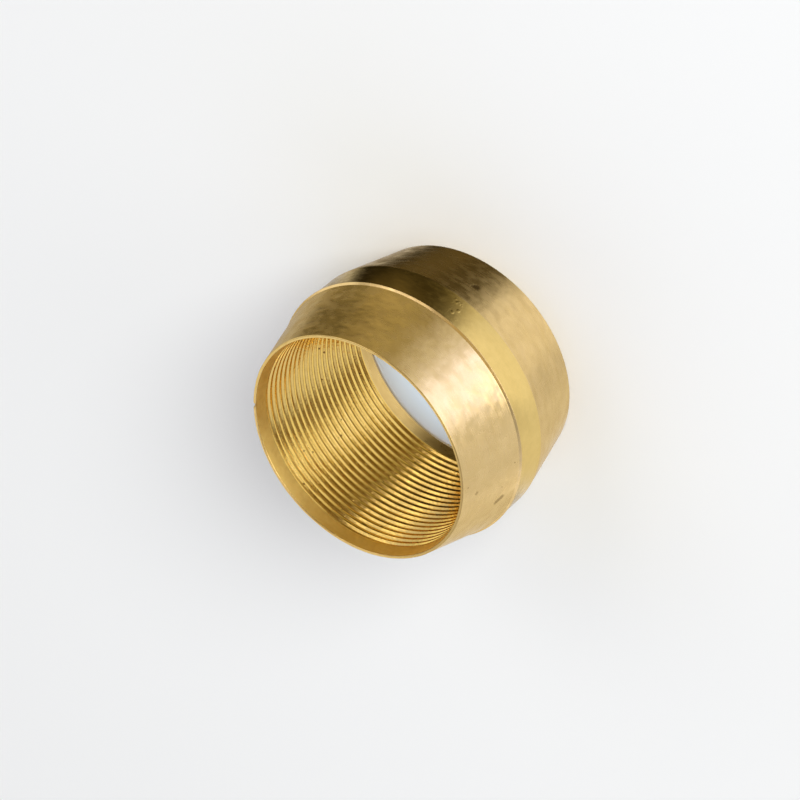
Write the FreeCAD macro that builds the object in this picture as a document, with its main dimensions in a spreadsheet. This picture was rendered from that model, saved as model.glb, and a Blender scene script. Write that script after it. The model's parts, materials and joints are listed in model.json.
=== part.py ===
"""Compression olive for a 15 mm pipe: one turned brass ring, in millimetres.

The ring stands on its far end at z = 0, centred on the Z axis, with its mouth up. From the far end upwards
its outside is a cone that widens, a plain band, a small step out to a rounded crest, and a second cone that
narrows to the mouth. Fine grooves ring the bore between two smooth lead-in cones.
"""
import os

import FreeCAD
import Part
import Sketcher

NODE = "compression_olive"

# Driving dimensions: name, value in millimetres and what it measures.
DIMENSIONS = [
    ("bore_diameter", 15.3, "bore over the ridges, an easy slide on the pipe"),
    ("lead_in_rise", 0.15, "radius gained by each lead-in cone from the bore to the end"),
    ("mouth_lead_in", 0.95, "length of the lead-in cone at the mouth"),
    ("far_lead_in", 1.05, "length of the lead-in cone at the far end"),
    ("lip_width", 0.2, "flat ring left at each end"),
    ("front_cone_length", 4.8, "mouth to crest"),
    ("front_cone_rise", 1.25, "radius gained from the mouth to the crest"),
    ("crest_step", 0.13, "radius lost from the crest to the band"),
    ("crest_round", 0.09, "rounding of the crest's edge"),
    ("band_length", 2.25, "plain band behind the crest"),
    ("rear_cone_length", 4.95, "band to far end"),
    ("groove_pitch", 0.5, "distance from one groove to the next"),
    ("groove_depth", 0.22, "depth of a groove below the bore"),
    ("ridge_land", 0.2, "flat top left between two grooves"),
]

# Expressions that several features share.
BORE_RADIUS = "sizes.bore_diameter / 2"
GROOVE_WIDTH = "(sizes.groove_pitch - sizes.ridge_land)"
GROOVED_LENGTH = (
    "(sizes.rear_cone_length + sizes.band_length + sizes.front_cone_length"
    " - sizes.mouth_lead_in - sizes.far_lead_in)"
)
# A whole number of pitches that comes out a hair short still counts as whole.
COUNT_SLACK = 0.01
# The rounding of the crest may take up at most this share of the step behind it.
LARGEST_ROUND = 0.7

START = 1
END = 2
SKETCH_ORIGIN = (-1, 1)
SKETCH_X_AXIS = -1


def make_sheet(doc):
    """Write the driving dimensions to a sheet, one aliased cell each."""
    sheet = doc.addObject("Spreadsheet::Sheet", "sizes")
    for row, (alias, value, meaning) in enumerate(DIMENSIONS, start=1):
        sheet.set(f"A{row}", alias)
        sheet.set(f"B{row}", str(value))
        sheet.set(f"C{row}", meaning)
        sheet.setAlias(f"B{row}", alias)
    doc.recompute()
    return sheet


def origin_feature(body, role):
    """Find one of the body's own origin planes or axes."""
    return next(item for item in body.Origin.OriginFeatures if item.Role == role)


def add_section_sketch(body, name):
    """Start a sketch on the plane that holds the axis: sketch x is the radius, sketch y the height."""
    sketch = body.newObject("Sketcher::SketchObject", name)
    sketch.AttachmentSupport = [(origin_feature(body, "XZ_Plane"), "")]
    sketch.MapMode = "FlatFace"
    return sketch


def draw_closed_outline(sketch, corners):
    """Join the corners by lines; line number k starts at corner number k."""
    points = [FreeCAD.Vector(radius, height, 0) for radius, height in corners]
    for start, end in zip(points, points[1:] + points[:1]):
        sketch.addGeometry(Part.LineSegment(start, end))
    for line in range(len(points)):
        following = (line + 1) % len(points)
        sketch.addConstraint(Sketcher.Constraint("Coincident", line, END, following, START))


def bind_distance(sketch, kind, name, first, second, expression):
    """Hold one corner at a bound distance from another, both given as corner numbers or the origin."""
    places = [place if isinstance(place, tuple) else (place, START) for place in (first, second)]
    index = sketch.addConstraint(Sketcher.Constraint(kind, *places[0], *places[1], 1.0))
    sketch.renameConstraint(index, name)
    sketch.setExpression(f"Constraints.{name}", expression)


def draw_wall_section(body, sheet):
    """Draw the wall without its grooves, as it is turned before they are cut."""
    bore = sheet.bore_diameter / 2
    lip_inner = bore + sheet.lead_in_rise
    lip_outer = lip_inner + sheet.lip_width
    crest = lip_outer + sheet.front_cone_rise
    band = crest - sheet.crest_step
    crest_height = sheet.rear_cone_length + sheet.band_length
    mouth_height = crest_height + sheet.front_cone_length
    sketch = add_section_sketch(body, "wall_section")
    far_lip_inner, bore_start, bore_end, mouth_lip_inner, mouth_lip_outer = range(5)
    crest_edge, step_root, band_end, far_lip_outer = range(5, 9)
    draw_closed_outline(sketch, [
        (lip_inner, 0),
        (bore, sheet.far_lead_in),
        (bore, mouth_height - sheet.mouth_lead_in),
        (lip_inner, mouth_height),
        (lip_outer, mouth_height),
        (crest, crest_height),
        (band, crest_height),
        (band, sheet.rear_cone_length),
        (lip_outer, 0),
    ])
    for line in (bore_start, step_root):
        sketch.addConstraint(Sketcher.Constraint("Vertical", line))
    for line in (mouth_lip_inner, crest_edge, far_lip_outer):
        sketch.addConstraint(Sketcher.Constraint("Horizontal", line))
    sketch.addConstraint(Sketcher.Constraint("PointOnObject", far_lip_inner, START, SKETCH_X_AXIS))
    radial = [
        ("bore_radius", SKETCH_ORIGIN, bore_start, BORE_RADIUS),
        ("far_lead_in_rise", bore_start, far_lip_inner, "sizes.lead_in_rise"),
        ("mouth_lead_in_rise", bore_end, mouth_lip_inner, "sizes.lead_in_rise"),
        ("mouth_lip_width", mouth_lip_inner, mouth_lip_outer, "sizes.lip_width"),
        ("far_lip_width", far_lip_inner, far_lip_outer, "sizes.lip_width"),
        ("front_cone_rise", mouth_lip_outer, crest_edge, "sizes.front_cone_rise"),
        ("crest_step", step_root, crest_edge, "sizes.crest_step"),
    ]
    upright = [
        ("far_lead_in", far_lip_inner, bore_start, "sizes.far_lead_in"),
        ("mouth_lead_in", bore_end, mouth_lip_inner, "sizes.mouth_lead_in"),
        ("front_cone_length", crest_edge, mouth_lip_outer, "sizes.front_cone_length"),
        ("band_length", band_end, step_root, "sizes.band_length"),
        ("rear_cone_length", far_lip_outer, band_end, "sizes.rear_cone_length"),
    ]
    for name, first, second, expression in radial:
        bind_distance(sketch, "DistanceX", name, first, second, expression)
    for name, first, second, expression in upright:
        bind_distance(sketch, "DistanceY", name, first, second, expression)
    return sketch


def draw_groove_section(body, sheet):
    """Draw the groove nearest the far end: a V below the bore wall, open into the bore."""
    bore = sheet.bore_diameter / 2
    depth = sheet.groove_depth
    width = sheet.groove_pitch - sheet.ridge_land
    lower = sheet.far_lead_in + sheet.ridge_land / 2
    sketch = add_section_sketch(body, "groove_section")
    open_lower, wall_lower, root, wall_upper, open_upper = range(5)
    draw_closed_outline(sketch, [
        (bore - depth, lower),
        (bore, lower),
        (bore + depth, lower + width / 2),
        (bore, lower + width),
        (bore - depth, lower + width),
    ])
    for line in (open_lower, wall_upper):
        sketch.addConstraint(Sketcher.Constraint("Horizontal", line))
    sketch.addConstraint(Sketcher.Constraint("Vertical", open_upper))
    sketch.addConstraint(Sketcher.Constraint("Vertical", wall_lower, START, wall_upper, START))
    bind_distance(sketch, "DistanceX", "bore_radius", SKETCH_ORIGIN, wall_lower, BORE_RADIUS)
    bind_distance(sketch, "DistanceX", "depth", wall_lower, root, "sizes.groove_depth")
    bind_distance(sketch, "DistanceX", "run_out", open_lower, wall_lower, "sizes.groove_depth")
    bind_distance(sketch, "DistanceY", "lower_edge", SKETCH_ORIGIN, wall_lower,
                  "sizes.far_lead_in + sizes.ridge_land / 2")
    bind_distance(sketch, "DistanceY", "half_width", wall_lower, root, f"{GROOVE_WIDTH} / 2")
    bind_distance(sketch, "DistanceY", "width", wall_lower, wall_upper, GROOVE_WIDTH)
    return sketch


def widest_edge(shape):
    """Name the circle with the largest radius, which is the crest."""
    radii = {}
    for number, edge in enumerate(shape.Edges, start=1):
        if isinstance(edge.Curve, Part.Circle):
            radii[f"Edge{number}"] = edge.Curve.Radius
    return max(radii, key=radii.get)


def turn_ring(doc, body, sheet):
    """Turn the plain ring and round its crest."""
    ring = body.newObject("PartDesign::Revolution", "ring")
    section = draw_wall_section(body, sheet)
    ring.Profile = section
    ring.ReferenceAxis = (section, ["V_Axis"])
    ring.Angle = 360
    doc.recompute()
    crest = body.newObject("PartDesign::Fillet", "rounded_crest")
    crest.Base = (ring, [widest_edge(ring.Shape)])
    crest.setExpression("Radius", f"min(sizes.crest_round; {LARGEST_ROUND} * sizes.crest_step)")
    doc.recompute()
    return crest


def cut_grooves(doc, body, sheet):
    """Cut the first groove and repeat it up the bore, as many times as the lead-in cones leave room for."""
    plain_volume = body.Shape.Volume
    groove = body.newObject("PartDesign::Groove", "first_groove")
    section = draw_groove_section(body, sheet)
    groove.Profile = section
    groove.ReferenceAxis = (section, ["V_Axis"])
    groove.Angle = 360
    doc.recompute()
    grooves = body.newObject("PartDesign::LinearPattern", "grip_grooves")
    grooves.Originals = [groove]
    grooves.Direction = (origin_feature(body, "Z_Axis"), [""])
    grooves.Mode = "Spacing"
    grooves.setExpression("Offset", "sizes.groove_pitch")
    grooves.setExpression("Occurrences", f"floor({GROOVED_LENGTH} / sizes.groove_pitch + {COUNT_SLACK})")
    body.Tip = grooves
    doc.recompute()
    cut_volume = plain_volume - groove.Shape.Volume
    all_cut_volume = plain_volume - body.Shape.Volume
    if cut_volume <= 0 or round(all_cut_volume / cut_volume) != grooves.Occurrences:
        raise RuntimeError("the grooves are not all cut")


def check_document(doc, body):
    """Stop before anything is written if a feature failed or the solid is not sound."""
    failed = [item.Name for item in doc.Objects if {"Invalid", "Error"} & set(item.State)]
    if failed:
        raise RuntimeError("failed features: " + ", ".join(failed))
    shape = body.Shape
    if shape.isNull() or not shape.isValid() or len(shape.Solids) != 1:
        raise RuntimeError(body.Label + " is not one valid solid")


def main():
    doc = FreeCAD.newDocument("olive")
    sheet = make_sheet(doc)
    body = doc.addObject("PartDesign::Body", NODE)
    body.Label = NODE
    body.Placement = FreeCAD.Placement()
    turn_ring(doc, body, sheet)
    cut_grooves(doc, body, sheet)
    check_document(doc, body)
    os.makedirs("parts", exist_ok=True)
    body.Shape.exportStep(f"parts/{body.Label}.step")
    box = body.Shape.optimalBoundingBox(False)
    print(f"{body.Label}: {box.XLength:.2f} x {box.YLength:.2f} x {box.ZLength:.2f} mm, "
          f"{body.Shape.Volume:.1f} cubic mm, {len(body.Shape.Faces)} faces")


main()
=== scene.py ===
"""Looks of a compression olive: one turned brass ring with grip grooves in its bore.

The ring is modelled in millimetres, as it is turned on a lathe: its wall section is drawn once, its corners
are broken, and the section is spun about the axis. It is then brought to metres. The camera has the view of
the photograph.
"""
import json
import math

import bmesh
import bpy
from mathutils import Matrix, Vector


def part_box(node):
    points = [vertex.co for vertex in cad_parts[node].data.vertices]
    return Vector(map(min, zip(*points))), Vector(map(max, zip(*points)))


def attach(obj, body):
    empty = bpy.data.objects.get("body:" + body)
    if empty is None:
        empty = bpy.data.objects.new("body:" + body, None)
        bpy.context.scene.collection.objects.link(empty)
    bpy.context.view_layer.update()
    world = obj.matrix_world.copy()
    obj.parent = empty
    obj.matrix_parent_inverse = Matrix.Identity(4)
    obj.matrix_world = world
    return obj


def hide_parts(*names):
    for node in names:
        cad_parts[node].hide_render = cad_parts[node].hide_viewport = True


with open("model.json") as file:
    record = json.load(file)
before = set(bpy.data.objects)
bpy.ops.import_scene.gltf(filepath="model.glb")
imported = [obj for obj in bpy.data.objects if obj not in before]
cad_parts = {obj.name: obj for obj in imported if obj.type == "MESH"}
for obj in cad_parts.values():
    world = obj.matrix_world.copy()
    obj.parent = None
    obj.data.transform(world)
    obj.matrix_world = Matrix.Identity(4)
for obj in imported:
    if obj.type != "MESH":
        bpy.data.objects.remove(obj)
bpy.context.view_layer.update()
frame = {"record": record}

NODE = "compression_olive"
MM = 0.001

# Sizes of the ring in millimetres, from the frame.
mounts = {mount["name"]: mount for mount in frame["record"]["mounts"]}
low_corner, high_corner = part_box(NODE)
MOUTH_HEIGHT = (high_corner.z - low_corner.z) / MM
BORE_RADIUS = mounts["pipe_bore"]["dims"]["r_mm"]
GROOVED_LENGTH = mounts["pipe_bore"]["dims"]["length_mm"]
GROOVES_START = mounts["pipe_bore"]["pos_m"][2] / MM - GROOVED_LENGTH / 2
GROOVES_END = GROOVES_START + GROOVED_LENGTH
CREST_TOP = high_corner.x / MM
CREST_HEIGHT = MOUTH_HEIGHT - mounts["front_cone"]["dims"]["length_mm"]
BAND_RADIUS = mounts["rear_cone"]["dims"]["r_mm"]
BAND_END = mounts["rear_cone"]["dims"]["length_mm"]

# Sizes in millimetres that the frame does not state, as in the part's source, and what follows from them.
LEAD_IN_RISE = 0.15
LIP_WIDTH = 0.2
LIP_INNER = BORE_RADIUS + LEAD_IN_RISE
LIP_OUTER = LIP_INNER + LIP_WIDTH
LIP_MIDDLE = LIP_INNER + LIP_WIDTH / 2
GROOVE_PITCH = 0.5
GROOVE_DEPTH = 0.22
GROOVE_ROOT = BORE_RADIUS + GROOVE_DEPTH
RIDGE_LAND = 0.2

# The small burr that the tool raised along the crest when it cut the band, in millimetres.
BURR_RISE = 0.14
BURR_WIDTH = 0.20
BURR_CROWN = 0.05
BURR_FOOT = CREST_HEIGHT + BURR_WIDTH

# Broken corners, in millimetres: the size of the break and how many flats round it off.
LIP_BREAK = (0.06, 4)
BURR_BREAK = (0.04, 4)
BURR_FOOT_BREAK = (0.02, 2)
STEP_BREAK = (0.02, 2)
BAND_BREAK = (0.05, 3)
LEAD_IN_BREAK = (0.05, 2)
RIDGE_BREAK = (0.022, 3)
ROOT_BREAK = (0.10, 4)
LIP_EDGE = LIP_BREAK[0]

# Unevenness that the cutting leaves, in millimetres: the size of its waves and their height.
RIDGE_WAVES = (1.5, 0.012)
LIP_WAVES = (0.5, 0.03)

# A nick in the mouth's lip, in millimetres.
NICK_ANGLE = math.radians(38)
NICK_REACH = 0.16
NICK_DEPTH = 0.08

# How finely the ring is turned, and how near in millimetres two points or sizes count as one.
SPIN_STEPS = 256
SMOOTH_ANGLE = math.radians(50)
SMALLEST_GAP = 0.0004
CLOSE = 0.001

# Brass in its finishes, as linear colours: the metal where it is bright and where it has dulled.
CONE_BRIGHT, CONE_DULL = (0.80, 0.58, 0.27, 1), (0.73, 0.52, 0.22, 1)
BAND_BRIGHT, BAND_DULL = (0.83, 0.605, 0.22, 1), (0.77, 0.55, 0.19, 1)
BORE_BRIGHT, BORE_DULL = (0.92, 0.64, 0.175, 1), (0.84, 0.565, 0.135, 1)
MOUTH_BRIGHT, MOUTH_DULL = (0.95, 0.73, 0.245, 1), (0.84, 0.61, 0.18, 1)
FAR_END_BRIGHT, FAR_END_DULL = (0.76, 0.54, 0.21, 1), (0.68, 0.46, 0.16, 1)
LIP_BRIGHT, LIP_DULL = (0.83, 0.59, 0.22, 1), (0.74, 0.50, 0.16, 1)
# Tarnish for patches; the same colour also paints shade on one side of the lips.
TARNISH_AND_LIP_SHADE = (0.42, 0.28, 0.10, 1)
# Grime for pits and marks; the same colour also paints shade into the groove roots.
GRIME_AND_GROOVE_SHADE = (0.15, 0.08, 0.018, 1)
EDGE_TINT = (0.93, 0.83, 0.62, 1)

# Tool marks: how far they run on in millimetres, how many fine ones go to a broad one, and their weight.
FINE_RUN = 3.0
BROAD_RUN = 6.0
FINE_PER_BROAD = 5
FINE_WEIGHT = 0.5

# How far patches and broad tool marks dull the brass.
PATCH_WEAR = 0.6
MARK_WEAR = 0.4

# Noise values between which an effect goes from its least to its most.
PATCH_RANGE = (0.25, 0.75)
BROAD_MARK_RANGE = (0.45, 0.75)
ROUGHNESS_RANGE = (0.45, 1.05)
UNEVEN_RANGE = (0.35, 0.65)
SWELL_STRETCH = (1, 1, 1.4)

# Edges of pits and marks: where they start and where they are full, in widths from the middle.
PIT_EDGE = (1.0, 0.3)
MARK_EDGE = (1.5, 0.9)
MARK_GRAIN = 9.0

# How dark a pit is, and the relief of pits and marks in heights of the finish's tool marks.
PIT_STAIN = 0.7
PIT_RELIEF = -4.0
MARK_RELIEF = -3.0

# Marks on the ring, in millimetres: where each starts and ends, its width and how dark it is.
CONE_MARKS = [
    ((2.88, -8.21, 3.08), (2.81, -8.23, 2.98), 0.34, 0.70),
    ((-8.14, -3.13, 8.83), (-8.12, -3.42, 8.47), 0.26, 0.55),
    ((-6.94, -4.55, 10.85), (-6.90, -4.60, 10.80), 0.16, 0.40),
]
BORE_MARKS = [
    ((-4.83, 6.06, 5.10), (-4.86, 6.03, 4.98), 0.12, 0.80),
    ((3.56, 6.88, 1.75), (3.53, 6.90, 1.66), 0.10, 0.70),
]
LIP_MARKS = [
    ((6.28, 4.90, 11.98), (6.30, 4.92, 11.90), 0.22, 0.85),
]

# A scuffed place on the band, and how far apart its glints lie, how wide, how many and how high they are.
BAND_SCUFF = ((2.87, -8.66, 5.45), (2.42, -8.79, 6.60), 0.45)
BAND_GLINTS = {"Spacing": 0.25, "Width": 0.17, "Share": 0.7}
GLINT_RISE = 4.5

# The cones' relief in millimetres, and over what length and how far the front cone sweeps up to the burr.
CONE_RELIEF = 0.003
CREST_SWEEP = 2.4
CREST_LIFT = 0.22

# The radii between which painted shade darkens the grooves towards their roots, and how much of it there
# is.
GROOVE_SHADE_START = BORE_RADIUS + 0.45 * GROOVE_DEPTH
GROOVE_SHADE_FULL = BORE_RADIUS + 0.75 * GROOVE_DEPTH
GROOVE_SHADE_SHARE = 0.55

# The side of the lips that painted shade darkens, how far towards it that starts, and how much.
LIP_SHADE_ANGLE = math.radians(-160)
LIP_SHADE_SIDE = (math.cos(LIP_SHADE_ANGLE), math.sin(LIP_SHADE_ANGLE), 0)
LIP_SHADE_START = 0.5 * LIP_OUTER
LIP_SHADE_SHARE = 0.7

# The photograph's view: its size and focal length in pixels, and where the middle of the mouth is seen.
PHOTO_SIZE = 800
PHOTO_FOCAL = 4500
MOUTH_PIXEL = (356.6, 448.4)
MOUTH_DEPTH = 280 * MM
VIEW_ELEVATION = math.radians(41.45)
VIEW_ROLL = math.radians(-130.33)
SENSOR_WIDTH = 36

# Places that the metal mirrors, each painted over those before it.
# Each has the azimuth and elevation of its middle, its reach and softness in degrees, and its light.
ROOM_LIGHT = (0.87, 0.88, 0.91, 1)
STUDIO = {
    "dim wall": ((95, -15), 55, 18, (0.57, 0.50, 0.27)),
    "wall shade": ((72, -25), 12, 8, (0.44, 0.38, 0.205)),
    "wall glow": ((106, -18), 11, 8, (0.62, 0.53, 0.28)),
    "grey wall": ((24, -38), 24, 8, (0.57, 0.58, 0.61)),
    "bench edge": ((97, -50), 25, 17, (0.05, 0.04, 0.018)),
    "dark bench": ((65, -49), 19, 7, (0.030, 0.024, 0.012)),
    "bench foot": ((78, -64), 15, 7, (0.15, 0.12, 0.06)),
    "pale sheet": ((-145, -64), 22, 10, (1.06, 1.06, 1.06)),
    "sheet edge": ((-98, -60), 8, 6, (0.76, 0.76, 0.78)),
    "low window": ((-164, -10), 17, 11, (1.65, 1.78, 2.7)),
    "left window": ((-62, 4), 25, 9, (1.3, 1.3, 1.35)),
    "window bar": ((-56, -11), 10, 6, (0.42, 0.40, 0.34)),
    "mouth shade": ((143, 14), 19, 7, (0.20, 0.155, 0.07)),
    "mouth lamp": ((-150, 14), 17, 8, (3.8, 3.8, 3.8)),
    "ceiling": ((0, 90), 66, 14, (0.36, 0.36, 0.36)),
    "left lamp": ((-72, 40), 24, 8, (0.76, 0.78, 1.0)),
    "side lamp": ((97, 47), 26, 8, (0.70, 0.70, 0.92)),
    "near crest lamp": ((121, 40), 9, 5, (2.5, 2.3, 2.1)),
    "far crest lamp": ((98, 32), 10, 5, (1.9, 1.8, 1.7)),
    "low side lamp": ((64, 6), 18, 7, (1.2, 1.2, 1.2)),
    "far lamp": ((0, 38), 24, 8, (0.95, 0.95, 0.95)),
    "dark stand": ((181, 45), 30, 6, (0.64, 0.54, 0.33)),
    "stand head": ((146, 66), 17, 5, (0.15, 0.10, 0.04)),
    "lamp stand": ((-111, 60), 11, 4, (0.20, 0.125, 0.04)),
    "ceiling lamp": ((-148, 68), 10, 5, (1.1, 1.15, 1.5)),
}

# Dim places are uneven: how much of its light such a place keeps where it is darkest, and how fine that is.
UNEVEN_PLACES = ("dim wall", "wall shade", "dark bench", "bench foot")
UNEVEN_SHARE = 0.6
UNEVEN_SCALE = 6

# The soft lamp that casts the shadow: its direction in degrees, its distance and size in metres.
KEY_DIRECTION = (-174, 30)
KEY_DISTANCE = 0.7
KEY_SIZE = 0.32
KEY_POWER = 3.7

# The narrow lamp that lights the floor seen through the bore, out to a reach in millimetres.
BORE_LAMP_DIRECTION = (0, 90)
BORE_LAMP_DISTANCE = 0.6
BORE_LAMP_REACH = 8
BORE_LAMP_SIZE = 0.002
BORE_LAMP_BLEND = 0.2
BORE_LAMP_COLOUR = (0.84, 1.14, 1.47)
BORE_LAMP_POWER = 7

# The floor and the backdrop, in metres.
FLOOR_SIZE = 4
FLOOR_COLOUR = (0.86, 0.885, 0.877, 1)
BACKDROP_HEIGHT = 2
BACKDROP_SIDES = 128


def direction_at(azimuth, elevation):
    """Unit vector at an azimuth turned from +Y towards +X and an elevation, both in degrees."""
    turn = math.radians(azimuth)
    rise = math.radians(elevation)
    return Vector((math.sin(turn) * math.cos(rise), math.cos(turn) * math.cos(rise), math.sin(rise)))


# Places on the section, by radius and height

def near(value, wanted):
    return abs(value - wanted) < CLOSE


def at_an_end(height):
    return near(height, 0) or near(height, MOUTH_HEIGHT)


def among_grooves(height):
    return GROOVES_START + CLOSE < height < GROOVES_END - CLOSE


def on_band(radius, height):
    return radius > BAND_RADIUS - CLOSE and BAND_END < height < CREST_HEIGHT


# Modelling

def edit_mesh(piece):
    """The mesh being edited, for choosing what the next operator acts on."""
    return bmesh.from_edit_mesh(piece.data)


def select_corners(piece, test):
    """Select the vertices whose radius and height pass the test, and nothing else."""
    bpy.ops.mesh.select_mode(type="VERT")
    bpy.ops.mesh.select_all(action="DESELECT")
    mesh = edit_mesh(piece)
    for vertex in mesh.verts:
        vertex.select_set(test(vertex.co.xy.length, vertex.co.z))
    mesh.select_flush_mode()
    bmesh.update_edit_mesh(piece.data)


def select_faces(piece, test):
    """Select the faces whose middle's radius and height pass the test, and nothing else."""
    bpy.ops.mesh.select_mode(type="FACE")
    bpy.ops.mesh.select_all(action="DESELECT")
    mesh = edit_mesh(piece)
    for face in mesh.faces:
        middle = face.calc_center_median()
        face.select_set(test(middle.xy.length, middle.z))
    bmesh.update_edit_mesh(piece.data)


def bore_corners():
    """The bore's wall from the first groove to the last, as radius and height."""
    half_width = (GROOVE_PITCH - RIDGE_LAND) / 2
    corners = [(BORE_RADIUS, GROOVES_START)]
    for number in range(round(GROOVED_LENGTH / GROOVE_PITCH)):
        middle = GROOVES_START + (number + 0.5) * GROOVE_PITCH
        corners += [
            (BORE_RADIUS, middle - half_width),
            (GROOVE_ROOT, middle),
            (BORE_RADIUS, middle + half_width),
        ]
    return corners + [(BORE_RADIUS, GROOVES_END)]


def outside_corners():
    """The lips and the outside, from the mouth down to the far end, as radius and height."""
    return [
        (LIP_INNER, MOUTH_HEIGHT),
        (LIP_OUTER, MOUTH_HEIGHT),
        (CREST_TOP - BURR_RISE, BURR_FOOT),
        (CREST_TOP, CREST_HEIGHT + BURR_CROWN),
        (BAND_RADIUS, CREST_HEIGHT),
        (BAND_RADIUS, BAND_END),
        (LIP_OUTER, 0),
        (LIP_INNER, 0),
    ]


def draw_section():
    """Trace the wall's section as a closed chain of edges, starting from one point."""
    corners = [Vector((radius, 0, height)) for radius, height in bore_corners() + outside_corners()]
    bpy.ops.object.select_all(action="DESELECT")
    bpy.ops.mesh.primitive_plane_add(size=1)
    piece = bpy.context.object
    piece.name = "turned_olive"
    piece.data.name = "turned_olive"
    bpy.ops.object.mode_set(mode="EDIT")
    bpy.ops.mesh.select_all(action="SELECT")
    bpy.ops.mesh.merge(type="CENTER")
    bpy.ops.transform.translate(value=corners[0])
    for start, end in zip(corners, corners[1:] + corners[:1]):
        bpy.ops.mesh.extrude_region_move(TRANSFORM_OT_translate={"value": end - start})
    bpy.ops.mesh.select_all(action="SELECT")
    bpy.ops.mesh.remove_doubles(threshold=SMALLEST_GAP)
    return piece


def break_corners(piece):
    """Round the section's corners as a cutting tool and a little wear leave them."""
    breaks = [
        (LIP_BREAK, lambda radius, height: at_an_end(height)),
        (BURR_BREAK, lambda radius, height: near(radius, CREST_TOP)),
        (BURR_FOOT_BREAK, lambda radius, height: near(height, BURR_FOOT) and radius > LIP_OUTER),
        (STEP_BREAK, lambda radius, height: near(radius, BAND_RADIUS) and near(height, CREST_HEIGHT)),
        (BAND_BREAK, lambda radius, height: near(radius, BAND_RADIUS) and near(height, BAND_END)),
        (LEAD_IN_BREAK, lambda radius, height: near(radius, BORE_RADIUS) and not among_grooves(height)),
        (RIDGE_BREAK, lambda radius, height: near(radius, BORE_RADIUS) and among_grooves(height)),
        (ROOT_BREAK, lambda radius, height: near(radius, GROOVE_ROOT) and among_grooves(height)),
    ]
    for (size, flats), test in breaks:
        select_corners(piece, test)
        bpy.ops.mesh.bevel(offset_type="OFFSET", offset=size, segments=flats,
                           affect="VERTICES", clamp_overlap=True)


def spin_section():
    """Sweep the section right round the axis and close the seam."""
    bpy.ops.mesh.select_all(action="SELECT")
    bpy.ops.mesh.spin(steps=SPIN_STEPS, angle=math.tau, center=(0, 0, 0), axis=(0, 0, 1))
    bpy.ops.mesh.select_all(action="SELECT")
    bpy.ops.mesh.remove_doubles(threshold=SMALLEST_GAP)
    bpy.ops.mesh.normals_make_consistent(inside=False)


def nick_lip(piece):
    """Press a small nick into the outer edge of the mouth's lip."""
    outwards = Vector((math.cos(NICK_ANGLE), math.sin(NICK_ANGLE), 0))
    place = outwards * LIP_OUTER + Vector((0, 0, MOUTH_HEIGHT))
    bpy.ops.mesh.select_mode(type="VERT")
    bpy.ops.mesh.select_all(action="DESELECT")
    mesh = edit_mesh(piece)
    for vertex in mesh.verts:
        vertex.select_set((vertex.co - place).length < NICK_REACH)
    bmesh.update_edit_mesh(piece.data)
    bpy.ops.transform.translate(value=(outwards + Vector((0, 0, 1))) * -NICK_DEPTH)


def add_waves(piece, name, waves, test):
    """Make the chosen vertices a little uneven along their normals."""
    size, height = waves
    bpy.ops.object.mode_set(mode="EDIT")
    select_corners(piece, test)
    bpy.ops.object.vertex_group_add()
    piece.vertex_groups.active.name = name
    bpy.ops.object.vertex_group_assign()
    bpy.ops.object.mode_set(mode="OBJECT")
    clouds = bpy.data.textures.new(name, "CLOUDS")
    clouds.noise_scale = size
    bpy.ops.object.modifier_add(type="DISPLACE")
    displace = piece.modifiers[-1]
    displace.texture = clouds
    displace.vertex_group = name
    displace.strength = height
    # At this level the waves only ever take metal away.
    displace.mid_level = 1.0
    bpy.ops.object.modifier_apply(modifier=displace.name)


def finish_shape(piece):
    """Bring the ring to metres and shade its turned faces smooth, with the flat lips true."""
    piece.scale = (MM, MM, MM)
    bpy.ops.object.transform_apply(location=False, rotation=False, scale=True)
    bpy.ops.object.shade_smooth_by_angle(angle=SMOOTH_ANGLE)
    bpy.ops.object.modifier_add(type="WEIGHTED_NORMAL")
    piece.modifiers[-1].keep_sharp = True
    bpy.ops.object.modifier_apply(modifier=piece.modifiers[-1].name)


def make_olive():
    piece = draw_section()
    break_corners(piece)
    spin_section()
    nick_lip(piece)
    add_waves(piece, "ridges", RIDGE_WAVES,
              lambda radius, height: radius < BORE_RADIUS + CLOSE and among_grooves(height))
    add_waves(piece, "mouth_lip", LIP_WAVES,
              lambda radius, height: radius > LIP_MIDDLE and height > MOUTH_HEIGHT - 2 * LIP_EDGE)
    finish_shape(piece)
    return piece


# Nodes

def add_node(tree, kind, inputs=None, **settings):
    """Add a node with its settings, and set or link its inputs, which are given by name or number."""
    made = tree.nodes.new(kind)
    for name, value in settings.items():
        setattr(made, name, value)
    for socket, value in (inputs or {}).items():
        if isinstance(value, bpy.types.NodeSocket):
            tree.links.new(value, made.inputs[socket])
        else:
            made.inputs[socket].default_value = value
    return made


def add_math(tree, operation, first, second, **settings):
    inputs = {0: first, 1: second}
    return add_node(tree, "ShaderNodeMath", inputs, operation=operation, **settings).outputs[0]


def add_vector_math(tree, operation, first, second):
    return add_node(tree, "ShaderNodeVectorMath", {0: first, 1: second}, operation=operation).outputs


def add_range(tree, value, low, high, new_low=0.0, new_high=1.0):
    """Map a value from one range to another with soft ends."""
    return add_node(tree, "ShaderNodeMapRange", {
        "Value": value,
        "From Min": low,
        "From Max": high,
        "To Min": new_low,
        "To Max": new_high,
    }, interpolation_type="SMOOTHSTEP").outputs["Result"]


def add_mix(tree, share, first, second):
    """Mix two colours."""
    return add_node(tree, "ShaderNodeMix", {0: share, 6: first, 7: second}, data_type="RGBA").outputs[2]


def start_group(name, inputs, outputs):
    """Start a shader node group with sockets given as name and kind, and return it with its two ends."""
    group = bpy.data.node_groups.new(name, "ShaderNodeTree")
    for way, sockets in (("INPUT", inputs), ("OUTPUT", outputs)):
        for socket, kind in sockets.items():
            group.interface.new_socket(socket, in_out=way, socket_type="NodeSocket" + kind)
    return group, add_node(group, "NodeGroupInput").outputs, add_node(group, "NodeGroupOutput").inputs


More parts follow.
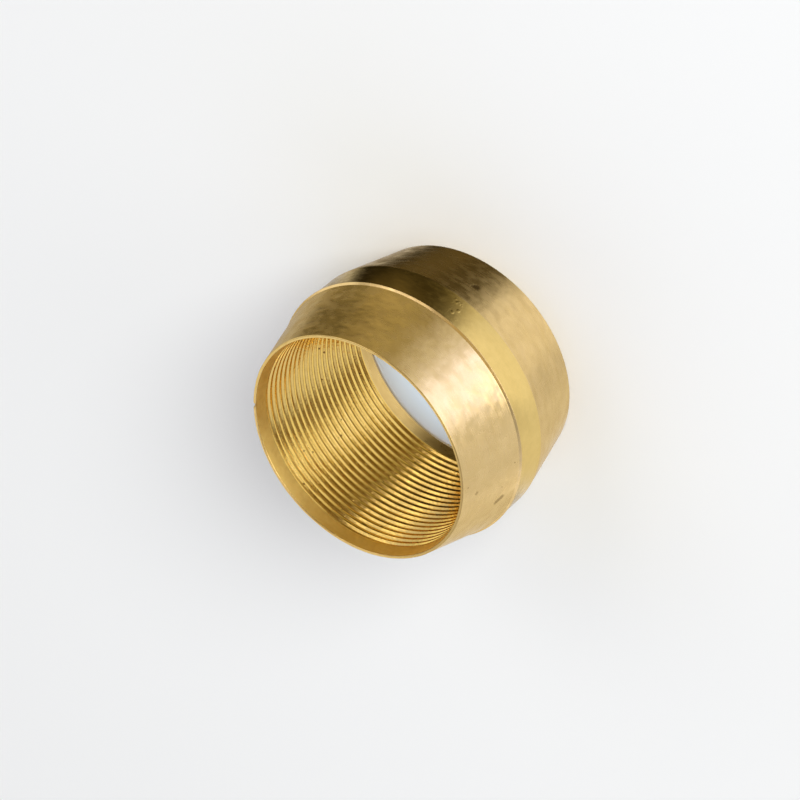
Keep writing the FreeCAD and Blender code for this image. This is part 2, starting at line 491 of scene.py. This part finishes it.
def ring_places_group():
    """Where a point lies on the ring, in millimetres, and its radius."""
    group, _, end = start_group("ring_places", {}, {"Place": "Vector", "Radius": "Float"})
    own = add_node(group, "ShaderNodeTexCoord").outputs["Object"]
    place = add_vector_math(group, "DIVIDE", own, (MM, MM, MM))["Vector"]
    flat = add_vector_math(group, "MULTIPLY", place, (1, 1, 0))["Vector"]
    radius = add_node(group, "ShaderNodeVectorMath", {0: flat}, operation="LENGTH").outputs["Value"]
    group.links.new(place, end["Place"])
    group.links.new(radius, end["Radius"])
    return group


def turning_marks_group():
    """Lines round the ring: so many to a millimetre, each running on for a while before it fades."""
    inputs = {"Place": "Vector", "Radius": "Float", "Lines": "Float", "Run": "Float"}
    group, start, end = start_group("turning_marks", inputs, {"Marks": "Float"})
    parts = add_node(group, "ShaderNodeSeparateXYZ", {0: start["Place"]}).outputs
    across = add_math(group, "ADD", parts["Z"], start["Radius"])
    stretched = add_node(group, "ShaderNodeCombineXYZ", {
        "X": add_math(group, "DIVIDE", parts["X"], start["Run"]),
        "Y": add_math(group, "DIVIDE", parts["Y"], start["Run"]),
        "Z": add_math(group, "MULTIPLY", across, start["Lines"]),
    }).outputs[0]
    noise = add_node(group, "ShaderNodeTexNoise", {
        "Vector": stretched,
        "Scale": 1.0,
        "Detail": 3.0,
        "Roughness": 0.6,
    })
    group.links.new(noise.outputs[0], end["Marks"])
    return group


def mottling_group():
    """Soft patches of a given size, as handling and air leave on brass, and the surface's gentle swell."""
    inputs = {"Place": "Vector", "Size": "Float"}
    group, start, end = start_group("mottling", inputs, {"Patches": "Float", "Swell": "Float"})
    scale = add_math(group, "DIVIDE", 1.0, start["Size"])
    noise = add_node(group, "ShaderNodeTexNoise", {
        "Vector": start["Place"],
        "Scale": scale,
        "Detail": 3.0,
        "Roughness": 0.5,
        "Distortion": 0.4,
    })
    drawn_out = add_vector_math(group, "MULTIPLY", start["Place"], SWELL_STRETCH)["Vector"]
    swell = add_node(group, "ShaderNodeTexNoise", {"Vector": drawn_out, "Scale": scale, "Detail": 1.0})
    group.links.new(add_range(group, noise.outputs[0], *PATCH_RANGE), end["Patches"])
    group.links.new(swell.outputs[0], end["Swell"])
    return group


def pits_group():
    """Small scattered pits: how far apart they may lie, how wide they are and how many there are."""
    inputs = {"Place": "Vector", "Spacing": "Float", "Width": "Float", "Share": "Float"}
    group, start, end = start_group("pits", inputs, {"Pits": "Float"})
    cells = add_node(group, "ShaderNodeTexVoronoi", {
        "Vector": start["Place"],
        "Scale": add_math(group, "DIVIDE", 1.0, start["Spacing"]),
    })
    reach = add_math(group, "DIVIDE", start["Width"], start["Spacing"])
    spot = add_range(group, add_math(group, "DIVIDE", cells.outputs["Distance"], reach), *PIT_EDGE)
    chance = add_node(group, "ShaderNodeSeparateColor", {0: cells.outputs["Color"]}).outputs[0]
    kept = add_math(group, "LESS_THAN", chance, start["Share"])
    group.links.new(add_math(group, "MULTIPLY", spot, kept), end["Pits"])
    return group


def scuff_group():
    """A mark with ragged edges along the line from one point to another, of a given width."""
    inputs = {"Place": "Vector", "Start": "Vector", "End": "Vector", "Width": "Float"}
    group, start, end = start_group("scuff", inputs, {"Mark": "Float"})
    line = add_vector_math(group, "SUBTRACT", start["End"], start["Start"])["Vector"]
    offset = add_vector_math(group, "SUBTRACT", start["Place"], start["Start"])["Vector"]
    reach = add_vector_math(group, "DOT_PRODUCT", offset, line)["Value"]
    length = add_vector_math(group, "DOT_PRODUCT", line, line)["Value"]
    along = add_math(group, "DIVIDE", reach, length, use_clamp=True)
    scaled = add_node(group, "ShaderNodeVectorMath", {0: line, "Scale": along}, operation="SCALE")
    distance = add_vector_math(group, "DISTANCE", offset, scaled.outputs["Vector"])["Value"]
    gap = add_math(group, "DIVIDE", distance, start["Width"])
    ragged = add_node(group, "ShaderNodeTexNoise", {
        "Vector": start["Place"],
        "Scale": MARK_GRAIN,
        "Detail": 2.0,
    }).outputs[0]
    group.links.new(add_range(group, add_math(group, "ADD", gap, ragged), *MARK_EDGE), end["Mark"])
    return group


class Brass:
    """A brass material while it is put together: its colour, roughness and relief so far."""

    def __init__(self, name, effects, bright, dull, roughness, lines, patch, dents):
        self.material = bpy.data.materials.new(name)
        self.material.use_nodes = True
        self.tree = self.material.node_tree
        self.tree.nodes.clear()
        self.effects = effects
        where = self.use("ring_places")
        self.place = where["Place"]
        self.radius = where["Radius"]
        fine = self.math("MULTIPLY", self.turning_marks(lines, FINE_RUN), FINE_WEIGHT)
        broad = self.turning_marks(lines / FINE_PER_BROAD, BROAD_RUN)
        patches, swell = self.use("mottling", {"Place": self.place, "Size": patch})
        patch_wear = self.math("MULTIPLY", patches, PATCH_WEAR)
        mark_wear = self.range(broad, *BROAD_MARK_RANGE, 0.0, MARK_WEAR)
        self.colour = add_mix(self.tree, self.math("ADD", patch_wear, mark_wear), bright, dull)
        self.roughness = self.range(self.math("ADD", fine, swell), *ROUGHNESS_RANGE, *roughness)
        self.relief = self.math("ADD", fine, broad)
        self.add_relief(swell, dents)

    def use(self, effect, inputs=None):
        """Place a shared effect and give its outputs."""
        return add_node(self.tree, "ShaderNodeGroup", inputs, node_tree=self.effects[effect]).outputs

    def math(self, operation, first, second):
        return add_math(self.tree, operation, first, second)

    def range(self, value, low, high, new_low=0.0, new_high=1.0):
        return add_range(self.tree, value, low, high, new_low, new_high)

    def turning_marks(self, lines, run):
        ring = {"Place": self.place, "Radius": self.radius}
        return self.use("turning_marks", {**ring, "Lines": lines, "Run": run})["Marks"]

    def add_relief(self, height, amount):
        self.relief = self.math("ADD", self.relief, self.math("MULTIPLY", height, amount))

    def stain(self, colour, mask, share):
        """Lay a colour over the brass where the mask is."""
        self.colour = add_mix(self.tree, self.math("MULTIPLY", mask, share), self.colour, colour)

    def tarnish(self, size, share):
        self.stain(TARNISH_AND_LIP_SHADE, self.use("mottling", {"Place": self.place, "Size": size})["Patches"], share)

    def pit(self, spacing, width, share):
        """Scatter small dark pits."""
        inputs = {"Place": self.place, "Spacing": spacing, "Width": width, "Share": share}
        pits = self.use("pits", inputs)["Pits"]
        self.stain(GRIME_AND_GROOVE_SHADE, pits, PIT_STAIN)
        self.add_relief(pits, PIT_RELIEF)

    def scuff(self, start, end, width):
        return self.use("scuff", {"Place": self.place, "Start": start, "End": end, "Width": width})["Mark"]

    def mark(self, marks):
        """Add dark marks at their places."""
        for start, end, width, share in marks:
            mark = self.scuff(start, end, width)
            self.stain(GRIME_AND_GROOVE_SHADE, mark, share)
            self.add_relief(mark, MARK_RELIEF)

    def close(self, depth):
        """Join what was gathered in the shader, with the relief this deep in millimetres."""
        bump = add_node(self.tree, "ShaderNodeBump", {
            "Strength": 1.0,
            "Distance": depth * MM,
            "Height": self.relief,
        })
        shader = add_node(self.tree, "ShaderNodeBsdfPrincipled", {
            "Base Color": self.colour,
            "Metallic": 1.0,
            "Roughness": self.roughness,
            "Specular Tint": EDGE_TINT,
            "Normal": bump.outputs["Normal"],
        })
        add_node(self.tree, "ShaderNodeOutputMaterial", {"Surface": shader.outputs["BSDF"]})
        return self.material


def cone_brass(effects):
    brass = Brass("turned_cone", effects, CONE_BRIGHT, CONE_DULL,
                  roughness=(0.16, 0.36), lines=10.0, patch=0.8, dents=7.0)
    brass.tarnish(size=1.3, share=0.16)
    brass.pit(spacing=0.7, width=0.07, share=0.06)
    brass.mark(CONE_MARKS + LIP_MARKS)
    height = add_node(brass.tree, "ShaderNodeSeparateXYZ", {0: brass.place}).outputs["Z"]
    rising = brass.range(height, CREST_HEIGHT + CREST_SWEEP, CREST_HEIGHT - CREST_SWEEP)
    brass.add_relief(rising, CREST_LIFT / CONE_RELIEF)
    return brass.close(depth=CONE_RELIEF)


def band_brass(effects):
    brass = Brass("turned_band", effects, BAND_BRIGHT, BAND_DULL,
                  roughness=(0.09, 0.24), lines=14.0, patch=0.5, dents=3.0)
    brass.pit(spacing=0.8, width=0.06, share=0.05)
    scuffed = brass.scuff(*BAND_SCUFF)
    glints = brass.use("pits", {"Place": brass.place, **BAND_GLINTS})["Pits"]
    brass.add_relief(brass.math("MULTIPLY", scuffed, glints), GLINT_RISE)
    return brass.close(depth=0.002)


def bore_brass(effects):
    brass = Brass("grip_grooves", effects, BORE_BRIGHT, BORE_DULL,
                  roughness=(0.11, 0.20), lines=16.0, patch=0.3, dents=3.0)
    brass.pit(spacing=0.4, width=0.09, share=0.16)
    # Painted shade: the bore is darkened towards the groove roots, in the grime colour.
    brass.stain(GRIME_AND_GROOVE_SHADE, brass.range(brass.radius, GROOVE_SHADE_START, GROOVE_SHADE_FULL), GROOVE_SHADE_SHARE)
    brass.mark(BORE_MARKS)
    return brass.close(depth=0.003)


def mouth_brass(effects):
    brass = Brass("mouth_lead_in", effects, MOUTH_BRIGHT, MOUTH_DULL,
                  roughness=(0.42, 0.54), lines=12.0, patch=0.4, dents=4.0)
    return brass.close(depth=0.005)


def far_end_brass(effects):
    brass = Brass("far_lead_in", effects, FAR_END_BRIGHT, FAR_END_DULL,
                  roughness=(0.26, 0.36), lines=12.0, patch=0.6, dents=3.0)
    return brass.close(depth=0.001)


def lip_brass(effects):
    brass = Brass("faced_lip", effects, LIP_BRIGHT, LIP_DULL,
                  roughness=(0.18, 0.28), lines=14.0, patch=0.4, dents=1.0)
    # Painted shade: the lips are darkened towards one side, in the tarnish colour.
    towards = add_vector_math(brass.tree, "DOT_PRODUCT", brass.place, LIP_SHADE_SIDE)["Value"]
    brass.stain(TARNISH_AND_LIP_SHADE, brass.range(towards, LIP_SHADE_START, LIP_OUTER), LIP_SHADE_SHARE)
    brass.mark(LIP_MARKS)
    return brass.close(depth=0.001)


def dress_olive(piece):
    """Give each turned surface its own finish; a later one covers an earlier one."""
    effects = {
        "ring_places": ring_places_group(),
        "turning_marks": turning_marks_group(),
        "mottling": mottling_group(),
        "pits": pits_group(),
        "scuff": scuff_group(),
    }
    areas = [
        (cone_brass, lambda radius, height: radius > LIP_OUTER),
        (band_brass, on_band),
        (bore_brass, lambda radius, height: radius < LIP_OUTER and GROOVES_START < height < GROOVES_END),
        (mouth_brass, lambda radius, height: radius < LIP_OUTER and height > GROOVES_END),
        (far_end_brass, lambda radius, height: radius < LIP_OUTER and height < GROOVES_START),
        (lip_brass, lambda radius, height: height < LIP_EDGE or height > MOUTH_HEIGHT - LIP_EDGE),
    ]
    bpy.ops.object.mode_set(mode="EDIT")
    for number, (make_brass, test) in enumerate(areas):
        bpy.ops.object.material_slot_add()
        piece.material_slots[number].material = make_brass(effects)
        select_faces(piece, lambda radius, height: test(radius / MM, height / MM))
        piece.active_material_index = number
        bpy.ops.object.material_slot_assign()
    bpy.ops.object.mode_set(mode="OBJECT")


# Studio

def add_camera():
    camera = bpy.data.objects.new("camera", bpy.data.cameras.new("camera"))
    bpy.context.scene.collection.objects.link(camera)
    camera.data.sensor_width = SENSOR_WIDTH
    camera.data.lens = SENSOR_WIDTH * PHOTO_FOCAL / PHOTO_SIZE
    turn = Matrix.Rotation(math.pi / 2 - VIEW_ELEVATION, 3, "X") @ Matrix.Rotation(VIEW_ROLL, 3, "Z")
    across = (MOUTH_PIXEL[0] - PHOTO_SIZE / 2) / PHOTO_FOCAL * MOUTH_DEPTH
    down = (MOUTH_PIXEL[1] - PHOTO_SIZE / 2) / PHOTO_FOCAL * MOUTH_DEPTH
    mouth = Vector((0, 0, MOUTH_HEIGHT * MM))
    place = mouth - turn @ Vector((across, -down, -MOUTH_DEPTH))
    camera.matrix_world = Matrix.Translation(place) @ turn.to_4x4()
    bpy.context.scene.camera = camera


def add_patch(tree, view, colour, place, reach, softness, light):
    """Paint a soft round patch on the studio's walls, centred on a direction, with its reach in degrees."""
    facing = add_vector_math(tree, "DOT_PRODUCT", view, direction_at(*place))["Value"]
    outer = math.cos(math.radians(reach + softness))
    inner = math.cos(math.radians(reach - softness))
    return add_mix(tree, add_range(tree, facing, outer, inner), colour, light)


def uneven_light(tree, view, light):
    """Light that is not the same all over the place it comes from."""
    noise = add_node(tree, "ShaderNodeTexNoise", {"Vector": view, "Scale": UNEVEN_SCALE, "Detail": 2.0})
    darkest = [UNEVEN_SHARE * part for part in light]
    return add_mix(tree, add_range(tree, noise.outputs[0], *UNEVEN_RANGE), (*darkest, 1), (*light, 1))


def paint_studio():
    world = bpy.data.worlds.new("studio")
    bpy.context.scene.world = world
    world.use_nodes = True
    tree = world.node_tree
    tree.nodes.clear()
    view = add_node(tree, "ShaderNodeTexCoord").outputs["Generated"]
    colour = ROOM_LIGHT
    for name, (place, reach, softness, light) in STUDIO.items():
        shown = uneven_light(tree, view, light) if name in UNEVEN_PLACES else (*light, 1)
        colour = add_patch(tree, view, colour, place, reach, softness, shown)
    background = add_node(tree, "ShaderNodeBackground", {"Color": colour, "Strength": 1.0})
    add_node(tree, "ShaderNodeOutputWorld", {"Surface": background.outputs["Background"]})


def hang_lamp(lamp, direction, distance):
    """Hang a lamp that points at the ring and that the metal does not mirror."""
    holder = bpy.data.objects.new(lamp.name, lamp)
    bpy.context.scene.collection.objects.link(holder)
    towards = direction_at(*direction)
    holder.location = towards * distance
    holder.rotation_euler = towards.to_track_quat("Z", "Y").to_euler()
    holder.visible_glossy = False


def add_key_lamp():
    """A soft lamp that casts the ring's shadow."""
    lamp = bpy.data.lights.new("key", "AREA")
    lamp.shape = "DISK"
    lamp.size = KEY_SIZE
    lamp.energy = KEY_POWER
    hang_lamp(lamp, KEY_DIRECTION, KEY_DISTANCE)


def add_bore_lamp():
    """A narrow lamp straight above that shines down the bore on to the floor."""
    lamp = bpy.data.lights.new("bore_lamp", "SPOT")
    lamp.spot_size = 2 * math.atan(BORE_LAMP_REACH * MM / BORE_LAMP_DISTANCE)
    lamp.spot_blend = BORE_LAMP_BLEND
    lamp.shadow_soft_size = BORE_LAMP_SIZE
    lamp.color = BORE_LAMP_COLOUR
    lamp.energy = BORE_LAMP_POWER
    hang_lamp(lamp, BORE_LAMP_DIRECTION, BORE_LAMP_DISTANCE)


def pale_paper():
    material = bpy.data.materials.new("pale_paper")
    material.use_nodes = True
    shader = material.node_tree.nodes["Principled BSDF"]
    shader.inputs["Base Color"].default_value = FLOOR_COLOUR
    shader.inputs["Roughness"].default_value = 1.0
    shader.inputs["Specular IOR Level"].default_value = 0.0
    return material


def add_floor():
    """A pale floor and a backdrop, which the metal does not mirror: it mirrors the studio behind them."""
    paper = pale_paper()
    bpy.ops.object.select_all(action="DESELECT")
    bpy.ops.mesh.primitive_plane_add(size=FLOOR_SIZE)
    floor = bpy.context.object
    bpy.ops.mesh.primitive_cylinder_add(
        radius=FLOOR_SIZE / 2,
        depth=BACKDROP_HEIGHT,
        location=(0, 0, BACKDROP_HEIGHT / 2),
        vertices=BACKDROP_SIDES,
        end_fill_type="NOTHING",
    )
    backdrop = bpy.context.object
    backdrop.visible_diffuse = False
    backdrop.visible_shadow = False
    for piece, name in ((floor, "floor"), (backdrop, "backdrop")):
        piece.name = name
        piece.data.materials.append(paper)
        piece.visible_glossy = False


def main():
    olive = make_olive()
    dress_olive(olive)
    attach(olive, "root")
    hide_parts(NODE)
    add_floor()
    paint_studio()
    add_key_lamp()
    add_bore_lamp()
    add_camera()
    bpy.context.scene.view_settings.view_transform = "Standard"


main()
